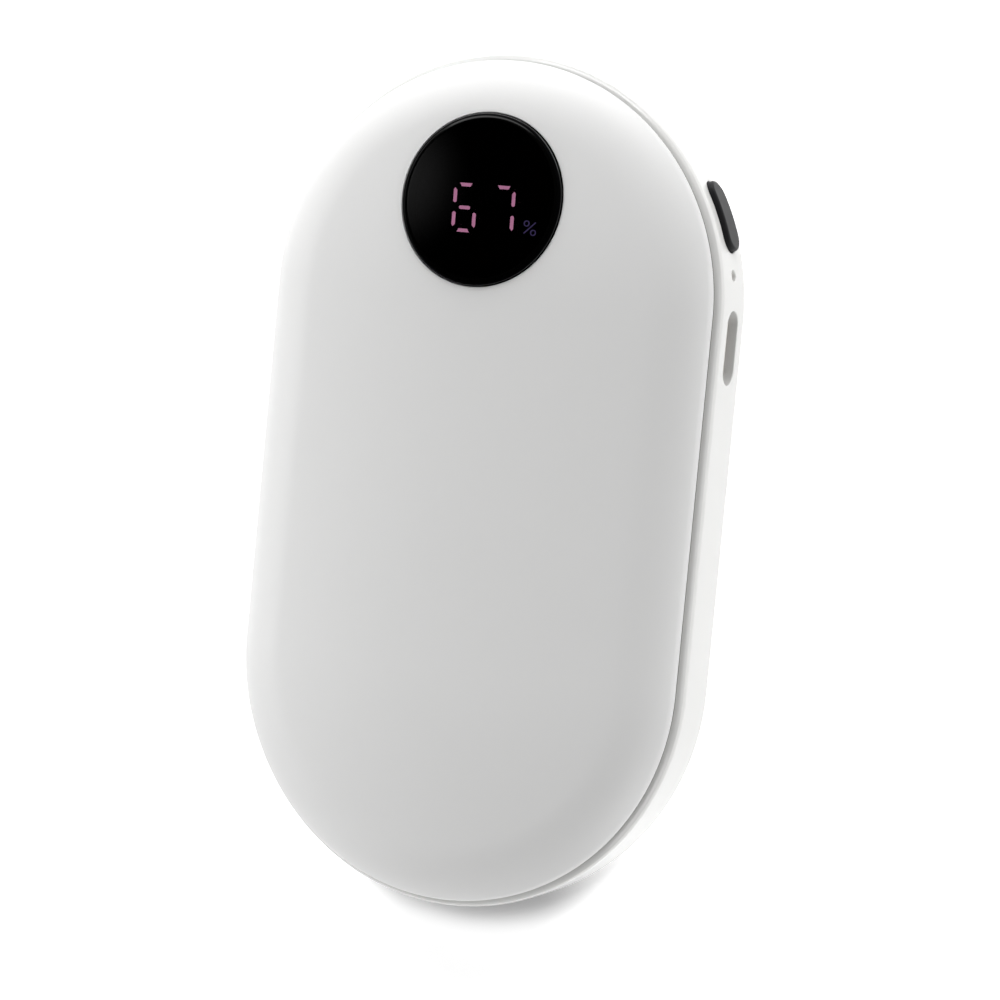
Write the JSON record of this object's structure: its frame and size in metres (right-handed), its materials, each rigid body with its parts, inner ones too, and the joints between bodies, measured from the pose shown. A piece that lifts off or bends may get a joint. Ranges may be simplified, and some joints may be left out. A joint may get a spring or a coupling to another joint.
{
  "type": "rechargeable hand warmer",
  "caption": "Pocket hand warmer: crowned covers over a smooth band, round display window, side power button, charge light and charging port.",
  "frame": {"origin": "middle of the flat rear face, which the object lies on", "axes": "+X towards the side with the button and the charging port, +Y towards the end with the window, +Z out of the front cover"},
  "size_m": [0.0628, 0.11, 0.0225],
  "materials": {
    "cover_plastic": "fine satin",
    "band_plastic": "gloss",
    "tray_plastic": "moulded",
    "window_glass": "polished, smoked",
    "adhesive": "matte",
    "display_black": "matte",
    "segment_light": "lit",
    "board_laminate": "solder mask",
    "screw_steel": "zinc",
    "flex_film": "film",
    "connector_plastic": "moulded",
    "chip_plastic": "moulded",
    "coil_ferrite": "sintered",
    "capacitor_ceramic": "ceramic",
    "port_steel": "drawn",
    "tongue_plastic": "moulded",
    "contact_brass": "plated",
    "lamp_plastic": "gloss",
    "guide_plastic": "polished",
    "button_plastic": "satin",
    "battery_foil": "foil",
    "lead_red": "insulation",
    "lead_black": "insulation",
    "heat_aluminium": "rolled",
    "heater_film": "film",
    "foam": "open cell",
    "sensor_epoxy": "dipped"
  },
  "bodies": {
    "case": {"front_cover": "cover_plastic", "rear_cover": "cover_plastic", "mid_band": "band_plastic", "inner_tray": "tray_plastic", "display_window": "window_glass", "window_tape": "adhesive", "display_block": "display_black", "display_segments": "segment_light", "display_board": "board_laminate", "display_screws": "screw_steel", "display_ribbon": "flex_film", "ribbon_connector": "connector_plastic", "main_board": "board_laminate", "board_screws": "screw_steel", "tray_screws": "screw_steel", "controller_chip": "chip_plastic", "charger_chip": "chip_plastic", "power_coil": "coil_ferrite", "board_capacitors": "capacitor_ceramic", "battery_connector": "connector_plastic", "heater_connector": "connector_plastic", "port_shell": "port_steel", "port_tongue": "tongue_plastic", "port_contacts": "contact_brass", "charge_lamp": "lamp_plastic", "light_guide": "guide_plastic", "switch_body": "chip_plastic", "battery_cell": "battery_foil", "battery_tape": "adhesive", "battery_lead_red": "lead_red", "battery_lead_black": "lead_black", "front_plate": "heat_aluminium", "front_heater": "heater_film", "front_heater_tail": "flex_film", "front_foam": "foam", "rear_plate": "heat_aluminium", "rear_heater": "heater_film", "rear_heater_tail": "flex_film", "rear_foam": "foam", "temperature_sensor": "sensor_epoxy"},
    "button": {"power_button": "button_plastic", "switch_plunger": "connector_plastic"}
  },
  "joints": [
    {"name": "button_press", "type": "slide", "parent": "case", "child": "button", "axis": [-0.9092, -0.4163, 0], "range_m": [0, 0.0004], "stiffness_N_per_m": 2500, "springref_m": -0.0004}
  ]
}
